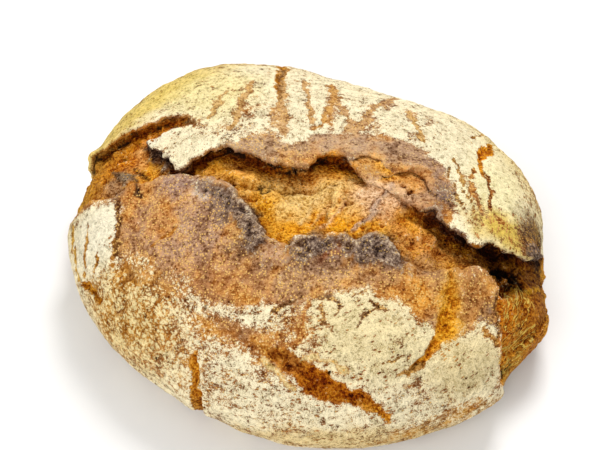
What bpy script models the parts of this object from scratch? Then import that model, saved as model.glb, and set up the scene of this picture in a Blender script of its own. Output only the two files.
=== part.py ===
"""A rye bread loaf: a round farmhouse loaf that tore open across its top as it baked.

Places on the crust are given on a map of it, in millimetres measured along the crust from
the top of the loaf: x to the right and y to the back. A line on the map runs from left to
right, and its open side is on its right hand.
"""
import math

import bpy
import bmesh
import numpy as np

MM = 0.001                      # the numbers below are millimetres, Blender works in metres

# ---- driving dimensions ----
RADIUS = 139.7                  # mean radius of the outline
HEIGHT = 89.0                   # height of the crown above the table
BELLY = 29.0                    # height of the widest line
DRAW_IN = 25.0                  # how much narrower the underside is than the belly
FULLNESS = 2.3                  # exponent of the crown's curve, 2 would be an ellipse
OUTLINE_WAVES = ((2, 11.7, -29.4), (3, 2.1, 7.0), (4, 2.6, 28.0), (5, 2.3, -34.4))
                                # lobes round the outline, their height, their direction in degrees
SHOULDER_WAVES = ((1, 0.048, -127.0), (2, 0.112, -35.0))
                                # and how much higher the shoulders are there, as a share
BASE_CUT = 2.0                  # how far the modelled form reaches below the flat base
CALM_EDGE = 30.0                # the relief fades out over this width above the base

CRUST = 3.6                     # thickness of the crust where it is torn
UNDERCUT = 0.25                 # how far a torn edge is hollow below, as a share of its overhang
LIFT_WIDTH = 8.0                # the crust starts to lift this far behind a torn edge
LIFT_SHARE = 2.2                # and farther by this share of its overhang
LIFT_HEIGHT = 0.3               # height of the lifted edge, as a share of its overhang
RIDGE_WIDTH = 22.0              # width over which the front ridge falls back to the crust
RIDGE_CREST = 4.0               # width of its crest
FLOOR_CURVE = 0.7               # below 1 the tear's floor drops fast behind the front ridge
SWELL_FALL = 1.6                # how fast a swell fades out towards its rim

SEGMENTS = 230                  # squares across the grid that is shaped into the loaf
KEPT_TRIANGLES = 9000           # triangles left after thinning out the flat stretches
CUTTER_DEPTH = 20.0             # depth of the block that trims the base flat

# ---- the long tear: x, y, overhang of the crust, depth below it ----
LEFT_TEAR = ((-188, 68, 0, 0), (-168, 65, 1, 5), (-150, 57, 2.5, 9), (-133, 53, 3, 9),
             (-118, 58, 3, 9), (-100, 60, 2.5, 8), (-87, 61.5, 1.5, 7), (-77, 59, 0.5, 5),
             (-67, 52, 0, 3), (-61, 46, 0, 2))
TONGUE = ((-78, 50, 0, 3), (-88, 46, 0, 4), (-99, 41, 1, 6), (-93, 32, 2, 7), (-84, 24, 2, 8),
          (-76, 12, 2.5, 9))
MIDDLE_TEAR = ((-68, 18, 5, 11), (-58, 23, 5, 13), (-49, 26, 5, 14), (-40, 22, 5, 14),
               (-30, 17, 4.5, 13), (-22, 11, 4, 12), (-9, 8, 3.5, 12), (-1, 6, 3.5, 12),
               (4, 16, 4.5, 13), (12, 19, 5, 13), (21, 17, 4.5, 11), (29, 7, 2.5, 6),
               (34, -3, 0.5, 2), (44, -7, 0, 1.5), (53, -13, 0.5, 2.5), (62, -19, 2.5, 8))
FLAP = ((69, -22, 6, 13), (76, -28, 8, 15), (85, -36, 9, 17), (94, -41, 11, 19),
        (108, -40, 12, 21), (119, -45, 13, 21), (130, -40, 11, 18), (142, -33, 7, 13),
        (156, -24, 2.5, 7), (174, -12, 0, 0))
BACK_LIP = LEFT_TEAR + TONGUE + MIDDLE_TEAR + FLAP

# ---- the front edge of the tear: x, y, rise of the ridge, drop behind it ----
LEFT_PATCH_EDGE = ((-188, -4, 0, 0), (-160, 0, 1, 1), (-138, 3, 2, 2), (-116, -2, 1.5, 2),
                   (-106, 4, 0.5, 1.5), (-90, 8, 1, 2))
CHARRED_RIDGE = ((-72, 8, 2, 4), (-60, 4, 2.5, 5), (-49, -3, 3, 6), (-41, -9, 3.5, 6),
                 (-35, -20, 4, 6), (-29, -31, 4, 6), (-22, -43, 3, 5), (-12, -46, 3, 5),
                 (-3, -41, 3.5, 5), (14, -40, 3, 4), (26, -44, 3, 4), (36, -40, 3.5, 4),
                 (43, -43, 3, 4), (53, -58, 1.5, 3))
END_CLIFF = ((64, -61, 1, 2), (84, -58, 0.5, 1.5), (99, -56, 1, 3), (106, -66, 2, 5),
             (107, -85, 2, 6), (110, -104, 2, 6), (115, -117, 1.5, 4), (132, -130, 0.5, 2),
             (152, -132, 0, 1), (178, -116, 0, 0))
FRONT_EDGE = LEFT_PATCH_EDGE + CHARRED_RIDGE + END_CLIFF

# ---- short lips in the crust: points as above, then the reach of the hollow below them ----
SCABS = (
    (((25, 13, 0, 0), (29, 18, 1.5, 3), (34, 20, 2, 4), (39, 17, 1.5, 3), (43, 12, 0, 0)), 10.0),
    (((46, 4, 0, 0), (51, 7, 1, 2), (56, 9, 2, 4), (61, 12, 2.5, 6), (66, 10, 2.5, 6),
      (69, 3, 2, 5), (70, -7, 0, 1)), 14.0),
)

# ---- grooves: x, y, width; then depth as a share of the width ----
CRACKS = (
    (((-64, 8, 1), (-52, 7, 4), (-43, 3, 5), (-34, 0, 5), (-24, 1, 3), (-12, -2, 5), (-2, -2, 5),
      (6, 0, 3), (18, 4, 1)), 0.8),
    (((78, -56, 2), (79, -68, 6), (78, -80, 8), (75, -92, 8.5), (69, -103, 7), (60, -113, 4),
      (50, -122, 1)), 0.35),
    (((-26, -105, 2), (-12, -111, 10), (2, -121, 14), (16, -129, 14), (28, -131, 11),
      (38, -137, 7), (47, -144, 2)), 0.22),
    (((-62, -98, 1), (-66, -108, 5), (-68, -118, 6), (-71, -128, 8), (-77, -139, 12),
      (-88, -150, 6)), 0.4),
    (((-15, 58, 1), (-17, 72, 3), (-18, 86, 4), (-18, 102, 7), (-17, 118, 7), (-18, 140, 2)), 0.3),
    (((103, 12, 2), (104, 25, 4), (107, 37, 6), (112, 47, 9), (117, 57, 4)), 0.35),
    (((-150, -43, 2), (-140, -49, 4.5), (-133, -56, 4.5), (-127, -62, 1)), 0.5),
)

# ---- holes in the tear: x, y, half length, half width, turn in degrees, depth ----
HOLES = ((118, -58, 10, 7, -8, 10), (-124, 31, 6, 3, -55, 6), (-33, -8, 4, 3.5, 0, 4),
         (22, -15, 3.5, 3, 30, 3.5))

# ---- swells: x, y, half length, half width, turn in degrees, height ----
SWELLS = (
    (30, -98, 46, 26, -12, 5.0),        # floured bulge at the front
    (88, -108, 26, 18, 35, 3.0),        # its neighbour, right of the curved crack
    (-128, -22, 22, 26, 0, 3.0),        # floured slab at the left
    (-122, 10, 16, 11, 25, 4.0),        # brown lump above that slab
    (-146, 55, 9, 6, 50, 3.0),          # lip standing out where the tear leaves the top
    (110, -12, 38, 32, -35, 3.0),       # the flap lifts away from the loaf
    (157, -20, 22, 34, 0, -8.0),        # but keeps to the outline at its end
    (155, -74, 36, 34, 10, 9.5),        # the loaf's end bulges out below it
    (45, -22, 20, 12, 25, 3.0),         # crumb heaped up in the tear
    (92, -60, 20, 10, -10, 3.0),
    (-40, 8, 13, 8, -25, 3.0),
)

GROUND_RELIEF = ((62.0, 1.6), (24.0, 0.7))      # bump spacing and height of the whole crust
CRUMB_RELIEF = ((21.0, 2.2), (9.0, 1.5))        # and of the torn crumb
END_START, END_FINISH = 112, 140                # x where the crumb gets smoother
END_CALM = 0.85                                 # and how much smoother it is at the loaf's end
RAGGEDNESS = ((11.0, 2.2), (5.0, 1.0))          # and how far the torn edges wander

PERMUTATION = np.random.default_rng(11).permutation(256)
NOISE_GAIN = 1.6                # brings the bumps to a height of about 1


def ramp(value, start, end):
    """0 before start, 1 after end, straight between."""
    return np.clip((value - start) / (end - start), 0.0, 1.0)


def smooth(value, start, end):
    """0 before start, 1 after end, with a soft start and finish."""
    share = ramp(value, start, end)
    return share * share * (3.0 - 2.0 * share)


def noise(x, y, spacing, seed):
    """Smooth bumps between about -1 and 1."""
    x, y = x / spacing, y / spacing
    column, row = np.floor(x).astype(int), np.floor(y).astype(int)
    total = np.zeros_like(x)
    for i in (0, 1):
        for j in (0, 1):
            pick = PERMUTATION[(PERMUTATION[(column + i + 31 * seed) % 256] + row + j) % 256]
            angle = pick * (2.0 * math.pi / 256)
            across, along = x - column - i, y - row - j
            weight = smooth(1.0 - np.abs(across), 0, 1) * smooth(1.0 - np.abs(along), 0, 1)
            total += weight * (np.cos(angle) * across + np.sin(angle) * along)
    return NOISE_GAIN * total


def relief(x, y, layers, seed):
    """Several layers of bumps, each with its spacing and height."""
    return sum(height * noise(x, y, spacing, seed + i) for i, (spacing, height) in enumerate(layers))


def nearest(x, y, line):
    """Signed distance to a line (positive on its open side), direction to that side, extras."""
    line = np.array(line, dtype=float)
    runs = np.diff(line[:, :2], axis=0)
    runs /= np.linalg.norm(runs, axis=1)[:, None]
    sides = np.stack([runs[:, 1], -runs[:, 0]], axis=1)
    ends = np.vstack([sides[:1], sides[:-1] + sides[1:], sides[-1:]])
    ends /= np.linalg.norm(ends, axis=1)[:, None]
    found = np.full((2 + line.shape[1],) + x.shape, 1e9)
    for a, b, side_a, side_b in zip(line[:-1], line[1:], ends[:-1], ends[1:]):
        step = b - a
        share = ((x - a[0]) * step[0] + (y - a[1]) * step[1]) / (step[0] ** 2 + step[1] ** 2)
        share = np.clip(share, 0.0, 1.0)
        off_x, off_y = x - a[0] - share * step[0], y - a[1] - share * step[1]
        far = np.hypot(off_x, off_y)
        side_x = side_a[0] + share * (side_b[0] - side_a[0])
        side_y = side_a[1] + share * (side_b[1] - side_a[1])
        size = np.hypot(side_x, side_y)
        sign = np.where(off_x * side_x + off_y * side_y < 0, -1.0, 1.0)
        values = [far, sign, side_x / size, side_y / size]
        values += [a[k] + share * step[k] for k in range(2, len(a))]
        found = np.where(far < found[0], values, found)
    return found[0] * found[1], found[2], found[3], found[4:]


def meridian():
    """The loaf's side view: distance along the crust, radius and height."""
    top = np.linspace(0.0, math.pi / 2, 400)
    low = np.linspace(0.0, math.pi / 2, 120)[1:]
    radius = np.append(RADIUS * np.sin(top) ** (2 / FULLNESS), RADIUS - DRAW_IN * (1 - np.cos(low)))
    height = np.append(BELLY + (HEIGHT - BELLY) * np.cos(top),
                       -BASE_CUT + (BELLY + BASE_CUT) * (1 - np.sin(low)))
    steps = np.hypot(np.diff(radius), np.diff(height))
    return np.append(0.0, np.cumsum(steps)), radius, height


ALONG, MERIDIAN_RADIUS, MERIDIAN_HEIGHT = meridian()
CRUST_LENGTH = ALONG[-1]


def waves(x, y, lobes):
    """The sum of waves round the loaf, in the direction of a place."""
    angle = np.arctan2(y, x)
    return sum(size * np.cos(count * (angle - math.radians(turn))) for count, size, turn in lobes)


def stretch(x, y):
    """How much wider than the mean the outline is in the direction of a place."""
    return 1.0 + waves(x, y, OUTLINE_WAVES) / RADIUS


def plain_point(x, y):
    """The point of the smooth loaf at a place on the map."""
    wide = stretch(x, y)
    far = np.hypot(x, y)
    radius = np.interp(far / wide, ALONG, MERIDIAN_RADIUS)
    height = np.interp(far / wide, ALONG, MERIDIAN_HEIGHT)
    shoulder = waves(x, y, SHOULDER_WAVES) * (radius / RADIUS) ** 2
    height += np.maximum(height - BELLY, 0.0) * shoulder
    outward = radius * wide / np.maximum(far, 1e-9)
    return np.stack([x * outward, y * outward, height], axis=-1)


def plain_normal(x, y, step=0.6):
    """The outward direction of the smooth loaf at a place on the map."""
    across = plain_point(x + step, y) - plain_point(x - step, y)
    along = plain_point(x, y + step) - plain_point(x, y - step)
    normal = np.cross(across, along)
    return normal / np.linalg.norm(normal, axis=-1, keepdims=True)


def fold(far, overhang, depth):
    """A torn edge: the crust lifts, hangs over, turns under and drops to the floor of the tear.

    The line is the edge as it shows from above. Returns the shift towards the open side, the
    height of the crust, and how far it is down."""
    far = far + overhang
    crust = np.minimum(CRUST, 0.6 * depth)
    recess = UNDERCUT * overhang
    lead = LIFT_WIDTH + LIFT_SHARE * overhang
    edge = 1.0 + 0.5 * crust
    under = edge + 0.3 + 0.5 * (overhang + recess)
    wall = under + 2.0 + 0.25 * depth
    far_end = wall + 1.5 * (recess + wall)
    raised = smooth(far, -lead, 0.0)
    shift = overhang * raised - edge * ramp(far, 0.0, edge)
    shift -= (recess + overhang + under - edge) * smooth(far, edge, under)
    shift -= (wall - under) * ramp(far, under, wall)
    shift += (recess + wall) * ramp(far, wall, far_end)
    height = LIFT_HEIGHT * overhang * raised ** 2 - crust * smooth(far, 0.0, edge)
    return shift, height, smooth(far, under, wall)


def pocket(x, y, line, reach):
    """A short lip with a hollow below it: the shift to the right and back, and the height."""
    far, side_x, side_y, (overhang, depth) = nearest(*ragged(x, y), line)
    shift, height, down = fold(far, overhang, depth)
    hollow = depth * (1.0 - smooth(far, 0.3 * reach, reach)) * down
    return shift * side_x, shift * side_y, height * (1.0 - down) - hollow


def turned(x, y, place):
    """Distance from the middle of an oval, as a share of its size."""
    middle_x, middle_y, length, width, turn = place
    c, s = math.cos(math.radians(turn)), math.sin(math.radians(turn))
    along = ((x - middle_x) * c + (y - middle_y) * s) / length
    across = (-(x - middle_x) * s + (y - middle_y) * c) / width
    return np.hypot(along, across)


def ragged(x, y):
    """Places moved a little to and fro, which makes the lines beside them ragged."""
    return x + relief(x, y, RAGGEDNESS, 1), y + relief(x, y, RAGGEDNESS, 5)


def loaf_surface(x, y):
    """The torn, cracked and swollen crust at places on the map."""
    to_base = CRUST_LENGTH * stretch(x, y) - np.hypot(x, y)
    calm = smooth(to_base, 1.0, CALM_EDGE)

    far_back, side_x, side_y, (overhang, depth) = nearest(*ragged(x, y), BACK_LIP)
    shift, height, down = fold(far_back, overhang * calm, depth)
    x, y = x + shift * side_x, y + shift * side_y

    far_front, _, _, (rise, drop) = nearest(*ragged(x, y), FRONT_EDGE)
    behind_ridge = np.maximum(-far_front, 0.0)
    from_wall = np.maximum(far_back + shift + overhang, 0.0)
    share = behind_ridge / (behind_ridge + from_wall + 1e-6)
    open_front = smooth(behind_ridge, 0.0, 3.5)
    floor = (drop + (depth - drop) * share ** FLOOR_CURVE) * open_front
    height = height * (1.0 - down) - floor * down
    ridge = smooth(far_front, -1.5, 0.5) * (1.0 - smooth(far_front, RIDGE_CREST, RIDGE_WIDTH))
    height += rise * ridge
    rough = 1.0 - END_CALM * smooth(x, END_START, END_FINISH)
    height += down * open_front * rough * relief(x, y, CRUMB_RELIEF, 9)

    for line, reach in SCABS:
        shift_x, shift_y, change = pocket(x, y, line, reach)
        x, y = x + shift_x * (1.0 - down), y + shift_y * (1.0 - down)
        height += change * (1.0 - down)
    for line, groove in CRACKS:
        far, _, _, (width,) = nearest(*ragged(x, y), line)
        height -= groove * width * (1.0 - smooth(np.abs(far), 0.1 * width, 0.65 * width))
    for *place, hollow in HOLES:
        height -= down * hollow * (1.0 - smooth(turned(x, y, place), 0.4, 1.2))
    for *place, swell in SWELLS:
        height += swell * np.exp(-SWELL_FALL * turned(x, y, place) ** 2)
    height += relief(x, y, GROUND_RELIEF, 13)
    return plain_point(x, y) + (height * calm)[:, None] * plain_normal(x, y)


def loaf_mesh():
    """A square grid, rounded to a disc, laid over the crust and closed by a flat face."""
    shape = bmesh.new()
    bmesh.ops.create_grid(shape, x_segments=SEGMENTS, y_segments=SEGMENTS, size=1.0)
    grid = np.array([vertex.co[:2] for vertex in shape.verts])
    disc = grid * np.sqrt(1.0 - 0.5 * grid[:, ::-1] ** 2)
    reach = CRUST_LENGTH * stretch(disc[:, 0], disc[:, 1])
    crust = loaf_surface(disc[:, 0] * reach, disc[:, 1] * reach)
    for vertex, point in zip(shape.verts, crust * MM):
        vertex.co = point
    rim = [edge for edge in shape.edges if edge.is_boundary]
    bmesh.ops.contextual_create(shape, geom=rim)
    bmesh.ops.triangulate(shape, faces=shape.faces)
    bmesh.ops.recalc_face_normals(shape, faces=shape.faces)
    mesh = bpy.data.meshes.new("loaf")
    shape.to_mesh(mesh)
    shape.free()
    return mesh


def crust_material():
    """Browned rye crust, dull and rough."""
    material = bpy.data.materials.new("crust")
    material.use_nodes = True
    principled = material.node_tree.nodes["Principled BSDF"]
    principled.inputs["Base Color"].default_value = (0.52, 0.30, 0.12, 1.0)
    principled.inputs["Roughness"].default_value = 0.85
    principled.inputs["Metallic"].default_value = 0.0
    return material


def table_cutter(collection):
    """A block under the table's height, which trims the loaf to its flat base."""
    side, depth = 3.0 * RADIUS * MM, CUTTER_DEPTH * MM
    bpy.ops.mesh.primitive_cube_add(size=1.0, location=(0.0, 0.0, -depth / 2))
    cutter = bpy.context.object
    cutter.name = "table_cutter"
    cutter.scale = (side, side, depth)
    bpy.ops.object.transform_apply(location=False, rotation=False, scale=True)
    cutter.hide_render = True
    cutter.display_type = "WIRE"
    for other in cutter.users_collection:
        other.objects.unlink(cutter)
    collection.objects.link(cutter)
    return cutter


def build():
    for old in list(bpy.data.objects):
        bpy.data.objects.remove(old, do_unlink=True)
    parts = bpy.data.collections.new("rye_bread_loaf")
    cutters = bpy.data.collections.new("cutters")
    bpy.context.scene.collection.children.link(parts)
    bpy.context.scene.collection.children.link(cutters)

    loaf = bpy.data.objects.new("loaf", loaf_mesh())
    parts.objects.link(loaf)
    loaf.data.materials.append(crust_material())
    thin = loaf.modifiers.new("thin_out", "DECIMATE")
    thin.ratio = KEPT_TRIANGLES / len(loaf.data.polygons)
    trim = loaf.modifiers.new("flat_base", "BOOLEAN")
    trim.operation = "DIFFERENCE"
    trim.solver = "EXACT"
    trim.object = table_cutter(cutters)


build()
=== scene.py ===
import math

import bpy
import bmesh
import numpy as np
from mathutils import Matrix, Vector


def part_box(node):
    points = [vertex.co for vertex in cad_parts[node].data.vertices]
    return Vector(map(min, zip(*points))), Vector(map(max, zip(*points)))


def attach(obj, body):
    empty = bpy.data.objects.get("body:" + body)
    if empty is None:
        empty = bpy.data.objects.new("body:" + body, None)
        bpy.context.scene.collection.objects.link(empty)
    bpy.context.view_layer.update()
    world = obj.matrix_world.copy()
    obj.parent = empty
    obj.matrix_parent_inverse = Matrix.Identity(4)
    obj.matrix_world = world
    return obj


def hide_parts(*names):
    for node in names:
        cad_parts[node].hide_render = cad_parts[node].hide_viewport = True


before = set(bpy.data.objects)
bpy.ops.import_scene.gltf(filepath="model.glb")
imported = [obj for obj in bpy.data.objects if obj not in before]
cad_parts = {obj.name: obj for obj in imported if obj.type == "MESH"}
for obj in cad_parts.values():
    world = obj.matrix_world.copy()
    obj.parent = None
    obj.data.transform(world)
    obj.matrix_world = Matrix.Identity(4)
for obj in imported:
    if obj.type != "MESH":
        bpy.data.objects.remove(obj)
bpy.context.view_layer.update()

MM = 0.001

# ---- the loaf's form, as in the CAD part ----
RADIUS = 139.7
HEIGHT = 89.0
BELLY = 29.0
DRAW_IN = 25.0
FULLNESS = 2.3
OUTLINE_WAVES = ((2, 11.7, -29.4), (3, 2.1, 7.0), (4, 2.6, 28.0), (5, 2.3, -34.4))
SHOULDER_WAVES = ((1, 0.048, -127.0), (2, 0.112, -35.0))
BASE_CUT = 2.0
CALM_EDGE = 30.0
CRUST = 3.6
UNDERCUT = 0.25
LIFT_WIDTH = 8.0
LIFT_SHARE = 2.2
LIFT_HEIGHT = 0.3
RIDGE_WIDTH = 22.0
RIDGE_CREST = 4.0
FLOOR_CURVE = 0.7
SWELL_FALL = 1.6
NOISE_GAIN = 1.6

SEGMENTS = 308  # squares across the grid that is shaped into the loaf
TOP_SHARE = 0.88  # spacing of the grid at the top, 1 is even
BASE_ISLAND, TOP_ISLAND = 0.06, 0.49  # radii of the two islands on the UV sheet

LEFT_TEAR = ((-188, 68, 0, 0), (-168, 65, 1, 5), (-150, 57, 2.5, 9), (-133, 53, 3, 9),
             (-118, 58, 3, 9), (-100, 60, 2.5, 8), (-87, 61.5, 1.5, 7), (-77, 59, 0.5, 5),
             (-67, 52, 0, 3), (-61, 46, 0, 2))
TONGUE = ((-78, 50, 0, 3), (-88, 46, 0, 4), (-99, 41, 1, 6), (-93, 32, 2, 7), (-84, 24, 2, 8),
          (-76, 12, 2.5, 9))
MIDDLE_TEAR = ((-68, 18, 5, 11), (-58, 23, 5, 13), (-49, 26, 5, 14), (-40, 22, 5, 14),
               (-30, 17, 4.5, 13), (-22, 11, 4, 12), (-9, 8, 3.5, 12), (-1, 6, 3.5, 12),
               (4, 16, 4.5, 13), (12, 19, 5, 13), (21, 17, 4.5, 11), (29, 7, 2.5, 6),
               (34, -3, 0.5, 2), (44, -7, 0, 1.5), (53, -13, 0.5, 2.5), (62, -19, 2.5, 8))
FLAP = ((69, -22, 6, 13), (76, -28, 8, 15), (85, -36, 9, 17), (94, -41, 11, 19),
        (108, -40, 12, 21), (119, -45, 13, 21), (130, -40, 11, 18), (142, -33, 7, 13),
        (156, -24, 2.5, 7), (174, -12, 0, 0))
BACK_LIP = LEFT_TEAR + TONGUE + MIDDLE_TEAR + FLAP

# ---- the front edge of the tear: x, y, rise of the ridge, drop behind it ----
LEFT_PATCH_EDGE = ((-188, -4, 0, 0), (-160, 0, 1, 1), (-138, 3, 2, 2), (-116, -2, 1.5, 2),
                   (-106, 4, 0.5, 1.5), (-90, 8, 1, 2))
CHARRED_RIDGE = ((-72, 8, 2, 4), (-60, 4, 2.5, 5), (-49, -3, 3, 6), (-41, -9, 3.5, 6),
                 (-35, -20, 4, 6), (-29, -31, 4, 6), (-22, -43, 3, 5), (-12, -46, 3, 5),
                 (-3, -41, 3.5, 5), (14, -40, 3, 4), (26, -44, 3, 4), (36, -40, 3.5, 4),
                 (43, -43, 3, 4), (53, -58, 1.5, 3))
END_CLIFF = ((64, -61, 1, 2), (84, -58, 0.5, 1.5), (99, -56, 1, 3), (106, -66, 2, 5),
             (107, -85, 2, 6), (110, -104, 2, 6), (115, -117, 1.5, 4), (132, -130, 0.5, 2),
             (152, -132, 0, 1), (178, -116, 0, 0))
FRONT_EDGE = LEFT_PATCH_EDGE + CHARRED_RIDGE + END_CLIFF

# ---- short lips in the crust: points as above, then the reach of the hollow below them ----
SCABS = (
    (((25, 13, 0, 0), (29, 18, 1.5, 3), (34, 20, 2, 4), (39, 17, 1.5, 3), (43, 12, 0, 0)), 10.0),
    (((46, 4, 0, 0), (51, 7, 1, 2), (56, 9, 2, 4), (61, 12, 2.5, 6), (66, 10, 2.5, 6),
      (69, 3, 2, 5), (70, -7, 0, 1)), 14.0),
)

# ---- grooves: x, y, width; then depth as a share of the width ----
CRACKS = (
    (((-64, 8, 1), (-52, 7, 4), (-43, 3, 5), (-34, 0, 5), (-24, 1, 3), (-12, -2, 5), (-2, -2, 5),
      (6, 0, 3), (18, 4, 1)), 0.8),
    (((78, -56, 2), (79, -68, 6), (78, -80, 8), (75, -92, 8.5), (69, -103, 7), (60, -113, 4),
      (50, -122, 1)), 0.35),
    (((-26, -105, 2), (-12, -111, 10), (2, -121, 14), (16, -129, 14), (28, -131, 11),
      (38, -137, 7), (47, -144, 2)), 0.22),
    (((-62, -98, 1), (-66, -108, 5), (-68, -118, 6), (-71, -128, 8), (-77, -139, 12),
      (-88, -150, 6)), 0.4),
    (((-15, 58, 1), (-17, 72, 3), (-18, 86, 4), (-18, 102, 7), (-17, 118, 7), (-18, 140, 2)), 0.3),
    (((103, 12, 2), (104, 25, 4), (107, 37, 6), (112, 47, 9), (117, 57, 4)), 0.35),
    (((-150, -43, 2), (-140, -49, 4.5), (-133, -56, 4.5), (-127, -62, 1)), 0.5),
)

# ---- holes in the tear: x, y, half length, half width, turn in degrees, depth ----
HOLES = ((118, -58, 10, 7, -8, 10), (-124, 31, 6, 3, -55, 6), (-33, -8, 4, 3.5, 0, 4),
         (22, -15, 3.5, 3, 30, 3.5))

# ---- swells: x, y, half length, half width, turn in degrees, height ----
SWELLS = (
    (30, -98, 46, 26, -12, 5.0),        # floured bulge at the front
    (88, -108, 26, 18, 35, 3.0),        # its neighbour, right of the curved crack
    (-128, -22, 22, 26, 0, 3.0),        # floured slab at the left
    (-122, 10, 16, 11, 25, 4.0),        # brown lump above that slab
    (-146, 55, 9, 6, 50, 3.0),          # lip standing out where the tear leaves the top
    (110, -12, 38, 32, -35, 3.0),       # the flap lifts away from the loaf
    (157, -20, 22, 34, 0, -8.0),        # but keeps to the outline at its end
    (155, -74, 36, 34, 10, 9.5),        # the loaf's end bulges out below it
    (45, -22, 20, 12, 25, 3.0),         # crumb heaped up in the tear
    (92, -60, 20, 10, -10, 3.0),
    (-40, 8, 13, 8, -25, 3.0),
)

GROUND_RELIEF = ((62.0, 1.6), (24.0, 0.7))  # bump spacing and height of the whole crust
CRUMB_RELIEF = ((21.0, 2.2), (9.0, 1.5))  # and of the torn crumb
END_START, END_FINISH = 112, 140  # x where the crumb gets smoother
END_CALM = 0.85  # and how much smoother it is at the loaf's end
RAGGEDNESS = ((11.0, 2.2), (5.0, 1.0))  # and how far the torn edges wander

# ---- finer relief that only the looks have: bump spacing and height ----
FINE_RAGGEDNESS = ((4.4, 0.9), (2.4, 0.5))
FINE_CRUMB = ((5.0, 1.1), (2.8, 0.7))
FINE_CRUST = ((9.0, 0.35), (4.0, 0.22), (2.6, 0.15))
FINE_CHAR = ((8.0, 1.9), (4.0, 1.2), (2.4, 0.6))
GRAINS = ((8.0, 1.2, 2), (3.6, 0.6, 5))  # crumb grains: spacing, height, seed
CRACK_LENGTH = 5.0  # small cracks are this many times as long as wide
RELIEF_SPAN = 1.2  # height over its surroundings that counts as 1 in the relief mark, which paints light on bumps and shade in hollows

# ---- the viewer in front of the loaf, to whom the marks are laid out ----
LOOK_DOWN = math.radians(52.0)
VIEWER = np.array([0.0, -math.cos(LOOK_DOWN), math.sin(LOOK_DOWN)])
LEAST_FACING = 0.35  # the crust is taken to face the viewer by at least this much

# ---- marks and colours: the colours are as they look on a screen, 0 to 255 ----
MARK_RAGGEDNESS = ((9.0, 3.5), (4.0, 1.6))
MOTTLE = ((17.0, 0.45), (8.0, 0.4), (3.5, 0.25))
SIDE_MOTTLE = ((34.0, 0.28), (13.0, 0.14))
WARM, DULL = (226, 150, 52), (134, 92, 62)
BACK_COVER, FRONT_COVER, LOW_COVER = 0.9, 0.74, 0.42  # how thickly the flour lies
CRUMB_PAINTED_LIGHT = 0.37  # painted light: the crumb is made brighter by this share, for the light it lets through and the shade in the tear
PALEST = 0.92  # but its strongest channel stays at or under this

CRUST_COLOUR = (178, 128, 84)
SIDE_COLOUR, SIDE_FLOUR = (184, 134, 52), (236, 208, 124)  # golden where the loaf turns away
BASE_COLOUR = (164, 108, 52)  # and browner down by the base
SPARK_COLOUR = (248, 196, 112)  # the small golden specks on the crust
CRUMB_COLOUR = (232, 160, 48)
CRUMB_SPARK = (250, 178, 50)
PAINTED_SHADE_CRUMB = (222, 132, 18)  # painted shade: the crumb's strong orange under the lip
FLOUR_COLOUR = (250, 236, 194)
LIP_RIM_AND_SHADE_COLOUR = (48, 28, 18)  # the thin dark rim of a torn edge: its own dark crust, and painted shade where the lip turns under
# the wrinkle ridges' own gold, given full brightness as a painted highlight
WRINKLE_GOLD_AND_HIGHLIGHT = (255, 212, 100)
SOOT = ((34, 22, 18), (92, 72, 62), (150, 126, 108), (212, 186, 156))
FLOOR_COLOURS = ((246, 245, 243), (254, 253, 251))

# ---- sizes of the material's grains and specks, in millimetres ----
COARSE, MIDDLE, FINE, DUST = 9.0, 3.5, 1.7, 0.6
GOLD_SPECK, RUST_SPECK, FLECK, PIT = 1.3, 1.7, 1.1, 3.6
CREVICE_CELL, WEB_CELL, CREASE, FLOOR_GRAIN = 2.6, 2.3, 3.0, 40.0

# ---- where the flour lies, to the back of this line and to the front of the next ----
BACK_FLOUR = ((-200, 70), (-168, 63), (-150, 54), (-133, 50), (-118, 55), (-100, 58), (-88, 60),
              (-76, 58), (-66, 53), (-62, 45), (-78, 49), (-90, 44), (-100, 38), (-92, 30),
              (-85, 20), (-79, 9),
              (-69, 18), (-62, 22), (-46, 29), (-36, 33), (-23, 36), (-15, 27), (-9, 27), (2, 33),
              (13, 36), (23, 38.5), (36, 38), (51, 37), (59, 33), (67, 27), (74, 20), (81, 10),
              (83, -3), (83, -18), (82, -30), (90, -38), (105, -40), (119, -46), (130, -41),
              (145, -32), (175, -12))
FRONT_FLOUR = ((-200, 8), (-160, 4), (-138, 2), (-115, -3), (-111, -8), (-111, -23), (-112, -36),
               (-104, -39), (-96, -44), (-85, -52), (-72, -58), (-61, -68), (-49, -77), (-33, -81),
               (-20, -78), (0, -78), (13, -75), (25, -72), (36, -74), (46, -78), (56, -85),
               (68, -93), (73, -103), (80, -98), (88, -90), (96, -86), (106, -86), (108, -95),
               (111, -108), (114, -119), (130, -118), (150, -112), (180, -100))

# ---- studio: metres and watts ----
LIGHT_SHARE = 0.85  # share of the light that white gives back
WORLD_LIGHT = 0.6
KEY_LIGHT = (0.25, 0.75, 1.1), 0.5, 13.0  # place, size and power
FILL_LIGHT = (-0.5, -0.9, 0.8), 0.9, 9.0
LIGHT_TARGET = (0.0, 0.0, 0.03)
FLOOR_SIZE, FLOOR_GAP = 6.0, 0.0003
LENS, SENSOR = 75.0, 36.0  # millimetres
CAMERA_TARGET = (-0.0054, 0.0, 0.0445)
CAMERA_FAR = 0.745

PERMUTATION = np.random.default_rng(11).permutation(256)


def ramp(value, start, end):
    """0 before start, 1 after end, straight between."""
    return np.clip((value - start) / (end - start), 0.0, 1.0)


def smooth(value, start, end):
    """0 before start, 1 after end, with a soft start and finish."""
    share = ramp(value, start, end)
    return share * share * (3.0 - 2.0 * share)


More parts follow.
